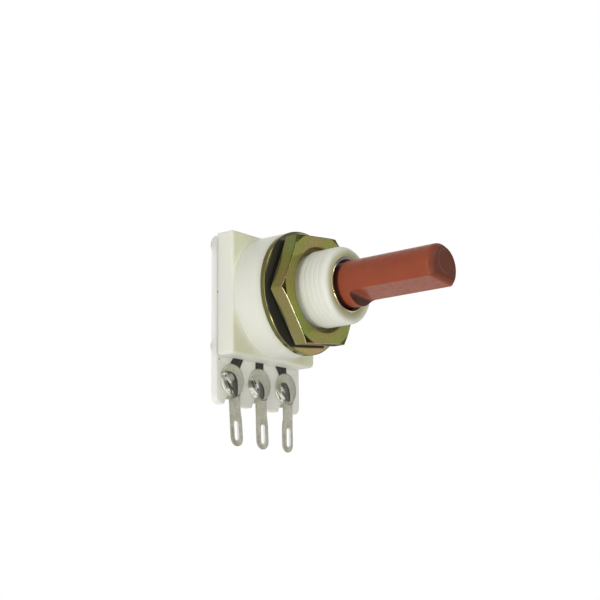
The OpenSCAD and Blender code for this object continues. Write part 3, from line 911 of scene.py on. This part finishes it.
def make_plate():
    """Back plate: outline with the three notches, edges broken by a small radius."""
    out = []

    def arc(cx, cz, r, a0, a1, n=8):
        for k in range(n + 1):
            a = math.radians(a0 + (a1 - a0) * k / n)
            out.append((cx + r * math.cos(a), cz + r * math.sin(a)))

    xw, top, bot, r = 8.3, 7.84, -14.44, 1.1
    arc(xw - r, top - r, r, 0, 90)
    arc(-xw + r, top - r, r, 90, 180)
    arc(-xw + r, bot + r, r, 180, 270)
    line = []
    for c in (-TAG_PITCH, 0.0, TAG_PITCH):
        line += [(c - 1.55, bot), (c - 1.18, -13.6), (c - 0.5, -12.75), (c + 0.5, -12.75), (c + 1.18, -13.6), (c + 1.55, bot)]
    # round the mouth and the root of each notch
    pts = rounded([(-xw + r, bot)] + line + [(xw - r, bot)], [0] + [0.22, 0.8, 0.2, 0.2, 0.8, 0.22] * 3 + [0], 4)
    out += pts[1:-1]
    arc(xw - r, bot + r, r, 270, 360)
    # offset inwards along the local normal for the broken edges
    n = len(out)

    def inset(d):
        res = []
        for i in range(n):
            a, b, c = Vector(out[i - 1]), Vector(out[i]), Vector(out[(i + 1) % n])
            t = ((b - a).normalized() + (c - b).normalized())
            t = t.normalized() if t.length > 1e-6 else (c - a).normalized()
            nrm = Vector((-t.y, t.x))
            res.append((b.x + nrm.x * d, b.y + nrm.y * d))
        return res
    rings = []
    e = 0.04
    for k in range(4):
        t = math.pi / 2 * k / 3
        rings.append([(x, 7.2 + e * (1 - math.cos(t)), z) for x, z in inset(e * (1 - math.sin(t)))])
    for k in range(4):
        t = math.pi / 2 * k / 3
        rings.append([(x, 8.2 - e * (1 - math.sin(t)), z) for x, z in inset(e * (1 - math.cos(t)))])
    ob = loft("plate", rings)
    for sx in (-7.2, 7.2):
        for sz in (6.5, -7.0):
            hole = revolve("hole", [(0.0004, 7.0), (0.82, 7.0), (0.82, 8.5), (0.0004, 8.5)], 40)
            for v in hole.data.vertices:
                v.co.x += sx * MM
                v.co.z += sz * MM
            ob = boolean(ob, hole, "DIFFERENCE")
    shade(ob, 32)
    weighted(ob)
    return finish_piece(ob, PLATE, "body", "white_plate", "substrate")


# half width and sideways shift below the joint, and the same at the eye
TAG_WIDTHS = {"left": (0.95, 0.05, 1.04, 0.12), "centre": (0.98, -0.08, 1.07, -0.02), "right": (0.87, 0.07, 0.98, -0.08)}


def make_tag(side, x, lean):
    """Solder tag: punched strip with a slotted free end, bent bridge and rear arm."""
    ob_parts = []
    hw, th, back = 1.1, 0.2, 0.08
    # 2D outline of the visible strip from the round head on the pad to the round tip
    head_c, tip_c = -9.9 - hw, -19.75 + hw

    def strip_point(px, pz, off):
        """Point of the strip, off is measured from its mid-plane; below the bend it leans forwards."""
        y = 6.95 + off
        if pz < -13.5:
            s = -13.5 - pz
            a = math.radians(lean) * min(1.0, s / 0.5)
            y -= math.sin(a) * s
            y += 0.0
        return (x + px, y, pz)

    outline = []
    n = 14
    for k in range(n + 1):
        a = math.radians(180 * k / n)
        outline.append((hw * math.cos(a), head_c + hw * math.sin(a)))
    zs = [-11.6, -12.2, -12.8, -13.3, -13.5, -13.7, -14.0, -14.5, -15.2, -16.0, -16.8, -17.6, -18.3]
    outline += [(-hw, z) for z in zs]
    for k in range(n + 1):
        a = math.radians(180 + 180 * k / n)
        outline.append((hw * math.cos(a), tip_c + hw * math.sin(a)))
    outline += [(hw, z) for z in reversed(zs)]
    # the strip is a little narrower below the joint than at the eye
    w1, s1, w2, s2 = TAG_WIDTHS[side]

    def slim(px, pz):
        k1, k2 = 1 - sstep(-12.9, -11.8, pz), 1 - sstep(-16.5, -15.0, pz)
        w = hw + (w1 - hw) * k1 + (w2 - w1) * k2
        return px * w / hw + s1 * k1 + (s2 - s1) * k2, pz
    outline = [slim(px, pz) for px, pz in outline]
    e = 0.018
    m = len(outline)

    def inset(d):
        res = []
        for i in range(m):
            a, b, c = Vector(outline[i - 1]), Vector(outline[i]), Vector(outline[(i + 1) % m])
            t = (b - a).normalized() + (c - b).normalized()
            t.normalize()
            res.append((b.x - t.y * d, b.y + t.x * d))
        return res
    rings = []
    for k in range(4):
        t = math.pi / 2 * k / 3
        rings.append([strip_point(px, pz, -th + e * (1 - math.cos(t))) for px, pz in inset(e * (1 - math.sin(t)))])
    for k in range(4):
        t = math.pi / 2 * k / 3
        rings.append([strip_point(px, pz, back - e * (1 - math.sin(t))) for px, pz in inset(e * (1 - math.cos(t)))])
    # front and back are built as cross strips, so that they stay flat on either side of the bend
    verts = [q for ring in rings for q in ring]
    faces = [(r * m + k, r * m + (k + 1) % m, (r + 1) * m + (k + 1) % m, (r + 1) * m + k)
             for r in range(len(rings) - 1) for k in range(m)]
    half, low = n // 2, n + 1 + len(zs)
    left_side = list(range(half, low + half + 1))
    right_side = [(2 * half - k) % m for k in left_side]
    for base in (0, (len(rings) - 1) * m):
        for i in range(len(left_side) - 1):
            quad = [left_side[i], left_side[i + 1], right_side[i + 1], right_side[i]]
            quad = [q for j, q in enumerate(quad) if q not in quad[:j]]
            faces.append(tuple(base + q for q in quad))
    ob = mesh_object(side + "_tag", verts, faces)
    # slot, with a light burr radius
    s = []
    for yy in (5.6, 7.6):
        ring = []
        for k in range(13):
            a = math.radians(180 * k / 12)
            ring.append((x + 0.4 * math.cos(a), yy, -16.9 + 0.4 * math.sin(a)))
        for k in range(13):
            a = math.radians(180 + 180 * k / 12)
            ring.append((x + 0.4 * math.cos(a), yy, -18.65 + 0.4 * math.sin(a)))
        s.append(ring)
    ob = boolean(ob, loft("slot", s), "DIFFERENCE")
    # bridge through the notch and the arm behind the plate, bent with a small radius
    path = rounded([(6.95, -13.38), (8.40, -13.38), (8.40, -11.6)], [0, 0.28, 0], 6)
    rings = []
    for i, (yy, zz) in enumerate(path):
        if i == 0:
            d = Vector((path[1][0] - yy, path[1][1] - zz))
        elif i == len(path) - 1:
            d = Vector((yy - path[i - 1][0], zz - path[i - 1][1]))
        else:
            d = Vector((path[i + 1][0] - path[i - 1][0], path[i + 1][1] - path[i - 1][1]))
        d.normalize()
        nx, nz = -d.y, d.x
        wide = 0.28 + 0.62 * sstep(-13.30, -12.9, zz)
        rings.append([(x - wide, yy + nx * 0.2, zz + nz * 0.2), (x + wide, yy + nx * 0.2, zz + nz * 0.2),
                      (x + wide, yy - nx * 0.2, zz - nz * 0.2), (x - wide, yy - nx * 0.2, zz - nz * 0.2)])
    arm = loft("arm", rings)
    ob = boolean(ob, arm, "UNION")
    shade(ob, 34)
    weighted(ob)
    return finish_piece(ob, TIN, "body", "tinned_brass", side + "_terminal")


# each joint is its own. tongue: outline of the run of bright solder over the pad (x, z), with the width
# over which it rises from each side. marks: (x0, z0, x1, z1, radius, tone) soft strokes of painted light on its skin,
# from a dark painted reflection (0) to a white painted highlight (1). skin: the same, where it stays dull. dents: (x0,
# z0, x1, z1, radius, depth)
JOINTS = {
    "left": dict(
        seed=3.1, h=0.60,
        tongue=((-2.30, 0.95, 0.60), (-2.18, -0.25, 0.55), (-1.45, -1.50, 0.50), (-0.75, -2.35, 0.45), (-0.10, -2.50, 0.40),
                (0.42, -2.25, 1.10), (0.66, -1.10, 1.35), (0.50, 0.15, 1.20), (0.05, 0.80, 0.90), (-0.85, 1.12, 0.60)),
        marks=((-1.75, -0.55, -1.15, -1.15, 0.36, 0.22), (-0.42, -0.05, -0.30, -2.10, 0.62, 0.12), (0.10, 0.20, 0.20, -2.00, 0.60, 0.10),
               (-1.70, 0.80, -0.60, 0.80, 0.30, 0.12), (-0.40, 0.80, -0.05, 0.00, 0.34, 0.06), (-1.95, 0.05, -1.10, -0.50, 0.14, 1.0),
               (-2.12, 0.52, -1.92, 0.58, 0.13, 1.0), (-1.44, -1.40, -1.26, -1.62, 0.12, 1.0), (-0.76, -1.50, -0.66, -2.15, 0.09, 0.85),
               (-0.60, -2.15, 0.00, -2.30, 0.12, 0.45)),
        skin=((-1.02, 0.30, -0.72, 0.12, 0.36, 0.95),),
        dents=((-1.30, 0.45, -0.35, -0.35, 0.16, 0.05), (-1.65, -0.75, -0.90, -1.35, 0.16, 0.07), (-0.42, 0.45, -0.30, 0.05, 0.10, 0.05))),
    "centre": dict(
        seed=7.7, h=0.62,
        tongue=((-2.25, 0.72, 0.55), (-2.35, -0.80, 0.50), (-1.65, -1.35, 0.50), (-0.75, -2.00, 0.40), (-0.20, -2.25, 0.40),
                (0.30, -1.95, 1.10), (0.58, -1.00, 1.30), (0.35, -0.20, 1.20), (-0.35, 0.42, 1.00), (-1.45, 0.72, 0.70)),
        marks=((-2.02, 0.02, -1.86, -0.42, 0.27, 0.06), (-0.48, 0.05, -0.36, -1.90, 0.62, 0.15), (0.05, 0.00, 0.15, -1.80, 0.55, 0.12),
               (-1.40, -0.95, -1.00, -1.30, 0.22, 0.28), (-2.15, 0.44, -1.36, -0.90, 0.07, 1.0), (-1.36, -0.20, -1.18, -0.52, 0.19, 1.0),
               (-2.14, -0.84, -1.26, -1.44, 0.21, 1.0), (-2.05, 0.50, -1.98, 0.55, 0.14, 1.0), (-0.98, -1.50, -0.90, -1.62, 0.16, 0.45),
               (-0.60, -1.96, -0.05, -2.10, 0.11, 0.50)),
        skin=((-1.62, 0.42, -1.20, 0.22, 0.24, 0.8),),
        dents=((-2.08, 0.46, -1.18, -0.87, 0.13, 0.10), (-1.15, 0.35, -0.45, 0.10, 0.14, 0.04))),
    "right": dict(
        seed=12.9, h=0.60,
        tongue=((-1.90, 0.45, 0.55), (-1.98, -0.62, 0.45), (-1.36, -1.34, 0.40), (-0.72, -1.92, 0.40), (-0.12, -2.05, 0.40),
                (0.38, -1.75, 1.10), (0.52, -0.60, 1.30), (0.15, 0.32, 1.20), (-0.50, 0.98, 0.90), (-1.25, 0.82, 0.80)),
        marks=((-1.20, 0.42, -1.10, 0.15, 0.42, 0.12), (-0.58, 0.25, -0.45, -1.75, 0.58, 0.15), (-0.05, 0.30, 0.05, -1.60, 0.50, 0.12),
               (-1.30, -0.85, -0.95, -1.20, 0.24, 0.30), (-1.68, -0.08, -1.54, -0.34, 0.17, 1.0), (-1.84, -0.80, -1.02, -1.50, 0.12, 1.0),
               (-0.52, -1.78, -0.05, -1.90, 0.10, 0.45)),
        skin=(),
        dents=((-1.00, 0.50, -0.95, 0.25, 0.28, 0.07), (-1.50, -0.70, -0.90, -1.15, 0.14, 0.05))),
}


def stroke(px, pz, ax, az, bx, bz, r):
    """1 on the line from a to b, falling to 0 at r on either side."""
    dx, dz = bx - ax, bz - az
    n = dx * dx + dz * dz
    t = max(0.0, min(1.0, ((px - ax) * dx + (pz - az) * dz) / n)) if n > 1e-9 else 0.0
    d = math.hypot(px - ax - dx * t, pz - az - dz * t)
    return 1.0 - sstep(0.35 * r, 1.32 * r, d)


def tongue_field(pts, px, pz):
    """Distance inside the outline (positive inside), and the height of the pillow (0 to 1)."""
    inside, high = 9.0, 1.0
    n = len(pts)
    for i in range(n):
        ax, az, w = pts[i]
        bx, bz, _ = pts[(i + 1) % n]
        dx, dz = bx - ax, bz - az
        d = (dx * (pz - az) - dz * (px - ax)) / math.hypot(dx, dz)
        inside = smoothmin(inside, d, 0.45)
        t = max(0.0, min(1.0, d / w))
        high = smoothmin(high, math.sqrt(1 - (1 - t) ** 2), 0.62)
    return inside, max(high, 0.0)


def make_solder(side, x):
    """Solder joint as a height field over the pad: a low dull disc, the head of the tag under its skin,
    and the bright tongue of solder that lies over its lower left and ends on the strip."""
    j = JOINTS[side]
    R = 2.15
    rows, seg = 96, 240

    def height(px, pz):
        r = math.hypot(px, pz)
        rim = max(0.0, 1 - (r / R) ** 2)
        h = 0.26 * (1 - (1 - rim) ** 4.0) ** 0.5 + 0.06 * rim
        h += 0.020 * noise.noise(Vector((px * 1.3, pz * 1.3, j["seed"]))) * min(1.0, rim * 4)
        # head of the tag under the skin
        d = abs(px) if pz < 0.2 else math.hypot(px, pz - 0.2)
        head = 0.455 + 0.05 * min(1.0, rim * 3) - 0.6 * sstep(1.00, 1.34, d)
        h = smoothmax(h, head, 0.10)
        # the tongue
        inside, high = tongue_field(j["tongue"], px, pz)
        gloss, tone = 0.0, 0.5
        if inside > 0:
            top = 0.30 + (j["h"] + 0.16) * high
            top += 0.035 * noise.noise(Vector((px * 1.6, pz * 1.6, j["seed"] + 5.0))) * high
            for ax, az, bx, bz, q, depth in j["dents"]:
                top -= depth * stroke(px, pz, ax, az, bx, bz, q) * high
            top *= sstep(0.0, 0.07, inside) ** 0.5
            if top > h:
                gloss = sstep(0.0, 0.05, top - h)
            h = smoothmax(h, top, 0.06)
            # painted light: the tone strokes lay the painted highlights and dark painted reflections over the tongue
            wob = 0.10 * noise.noise(Vector((px * 4.0, pz * 4.0, j["seed"] + 9.0)))
            tone = 0.52 + 0.5 * wob
            for ax, az, bx, bz, q, v in j["marks"]:
                k = stroke(px + wob * 0.5, pz + wob * 0.4, ax, az, bx, bz, q)
                tone += (v - tone) * k
            for ax, az, bx, bz, q, v in j["skin"]:
                gloss *= 1.0 - v * stroke(px + wob * 0.5, pz + wob * 0.4, ax, az, bx, bz, q)
        # the last value is the painted shade line round the right rim of the disc
        return h, gloss, tone, sstep(R - 0.20, R - 0.06, r) * sstep(-0.7, 0.5, px)

    verts, gloss, tones, rims, faces = [], [], [], [], []
    edge_r = []
    for k in range(seg):
        a = 2 * math.pi * k / seg
        t = R
        while tongue_field(j["tongue"], t * math.cos(a), t * math.sin(a))[0] > 0:
            t += 0.01
        edge_r.append(t)
    edge_r = [(edge_r[k - 1] + 2 * edge_r[k] + edge_r[(k + 1) % seg]) / 4 for k in range(seg)]
    for i in range(rows + 1):
        f = i / rows
        f = math.sin(f * math.pi / 2) ** 0.95 if i else 0.0
        for k in range(seg):
            a = 2 * math.pi * k / seg
            rr = edge_r[k] * f
            px, pz = rr * math.cos(a), rr * math.sin(a)
            h, g, t, e = height(px, pz)
            h = max(h, 0.02) if i < rows else 0.0
            verts.append((x + px, 7.17 - h, PAD_Z + pz))
            gloss.append(g)
            tones.append(t)
            rims.append(e)
    for i in range(rows):
        for k in range(seg):
            k2 = (k + 1) % seg
            faces.append((i * seg + k, i * seg + k2, (i + 1) * seg + k2, (i + 1) * seg + k))
    faces.append(tuple(rows * seg + k for k in range(seg)))
    me = bpy.data.meshes.new(side + "_joint")
    me.from_pydata([(vx * MM, vy * MM, vz * MM) for vx, vy, vz in verts], [], faces)
    for key, values in (("gloss", gloss), ("tone", tones), ("rim", rims)):
        at = me.attributes.new(key, "FLOAT", "POINT")
        at.data.foreach_set("value", values)
    bm = bmesh.new()
    bm.from_mesh(me)
    bmesh.ops.remove_doubles(bm, verts=bm.verts, dist=1e-8)
    bmesh.ops.recalc_face_normals(bm, faces=bm.faces)
    bm.to_mesh(me)
    bm.free()
    ob = link(bpy.data.objects.new(side + "_joint", me))
    shade(ob, 75)
    return finish_piece(ob, SOLDER, "body", "solder", side + "_solder")


make_housing()
make_sleeve()
make_shaft()
make_nut()
make_washer()
make_plate()
for side, x, lean in SIDES:
    make_tag(side, x, lean)
    make_solder(side, x)
for name, mat in (("wiper_carrier", BLACK), ("wiper_spring", BRONZE), ("resistive_track", CARBON),
                  ("collector_ring", DARK), ("left_conductor", DARK), ("centre_conductor", DARK),
                  ("right_conductor", DARK)):
    finish_node(name, mat)

# ---------------------------------------------------------------------------
# light
# ---------------------------------------------------------------------------


def make_world():
    """A white tent with a dark opening on the photographer's side. Camera rays see plain paper."""
    w = bpy.data.worlds.new("studio")
    bpy.context.scene.world = w
    w.use_nodes = True
    t = w.node_tree
    for n in list(t.nodes):
        t.nodes.remove(n)
    out = t.nodes.new("ShaderNodeOutputWorld")
    tc = t.nodes.new("ShaderNodeTexCoord")
    nrm = t.nodes.new("ShaderNodeVectorMath")
    nrm.operation = "NORMALIZE"
    t.links.new(tc.outputs["Generated"], nrm.inputs[0])

    def lobe(direction, cos_out, cos_in, low, high):
        dot = t.nodes.new("ShaderNodeVectorMath")
        dot.operation = "DOT_PRODUCT"
        t.links.new(nrm.outputs[0], dot.inputs[0])
        dot.inputs[1].default_value = Vector(direction).normalized()
        mr = t.nodes.new("ShaderNodeMapRange")
        mr.interpolation_type = "SMOOTHSTEP"
        mr.inputs["From Min"].default_value = cos_out
        mr.inputs["From Max"].default_value = cos_in
        mr.inputs["To Min"].default_value = low
        mr.inputs["To Max"].default_value = high
        t.links.new(dot.outputs["Value"], mr.inputs["Value"])
        return mr.outputs["Result"]

    def join(op, a, b):
        n = t.nodes.new("ShaderNodeMath")
        n.operation = op
        t.links.new(a, n.inputs[0])
        t.links.new(b, n.inputs[1])
        return n.outputs[0]

    v = lobe((-0.55, -0.82, -0.12), 0.74, 0.90, 0.62, 0.04)
    v = join("MULTIPLY", v, lobe((0.15, -0.97, -0.06), 0.74, 0.91, 1.0, 0.06))
    v = join("MULTIPLY", v, lobe((0.98, 0.00, 0.12), 0.80, 0.93, 1.0, 0.15))
    v = join("ADD", v, lobe((0.30, 0.95, 0.05), 0.62, 0.92, 0.0, 0.80))
    v = join("MULTIPLY", v, lobe((0.80, 0.60, -0.03), 0.957, 0.985, 1.0, 0.08))
    v = join("MULTIPLY", v, lobe((-0.15, 0.10, 1.0), 0.45, 0.95, 1.0, 0.70))
    v = join("ADD", v, lobe((0.78, -0.60, 0.18), 0.86, 0.96, 0.0, 0.20))
    v = join("MULTIPLY", v, lobe((0.48, -0.58, 0.66), 0.90, 0.97, 1.0, 0.15))
    v = join("MULTIPLY", v, lobe((0.42, -0.80, -0.42), 0.86, 0.95, 1.0, 0.15))
    room = t.nodes.new("ShaderNodeBackground")
    room.inputs["Color"].default_value = (1.0, 0.995, 0.98, 1.0)
    t.links.new(v, room.inputs["Strength"])
    paper = t.nodes.new("ShaderNodeBackground")
    paper.inputs["Color"].default_value = (1.0, 1.0, 1.0, 1.0)
    paper.inputs["Strength"].default_value = 1.0
    lp = t.nodes.new("ShaderNodeLightPath")
    mix = t.nodes.new("ShaderNodeMixShader")
    t.links.new(lp.outputs["Is Camera Ray"], mix.inputs[0])
    t.links.new(room.outputs[0], mix.inputs[1])
    t.links.new(paper.outputs[0], mix.inputs[2])
    t.links.new(mix.outputs[0], out.inputs["Surface"])


def area(name, direction, distance, size, radiance, colour=(1, 1, 1)):
    """A soft panel at a distance from the part, set by how bright its face is."""
    li = bpy.data.lights.new(name, "AREA")
    li.shape = "RECTANGLE"
    li.size, li.size_y = size
    li.energy = radiance * math.pi * size[0] * size[1]
    li.color = colour
    ob = link(bpy.data.objects.new(name, li))
    d = Vector(direction).normalized()
    ob.location = d * distance
    ob.rotation_mode = "QUATERNION"
    ob.rotation_quaternion = d.to_track_quat("Z", "Y")
    return ob


make_world()
area("left_bank", (-0.97, -0.10, 0.00), 0.50, (0.30, 0.50), 1.15)
area("key_lamp", (0.15, -0.80, 0.58), 0.50, (0.14, 0.14), 7.0)
area("low_bank", (-0.50, -0.42, -0.75), 0.45, (0.30, 0.30), 0.85)
area("fill_low", (-0.35, -0.80, -0.48), 0.50, (0.12, 0.12), 11.0)
area("near_lens", (-0.70, -0.62, -0.35), 0.50, (0.06, 0.06), 14.0)
area("front_lamp", (-0.25, -0.70, 0.66), 0.50, (0.04, 0.04), 12.0)

scene = bpy.context.scene
scene.view_settings.view_transform = "Standard"
scene.view_settings.look = "None"
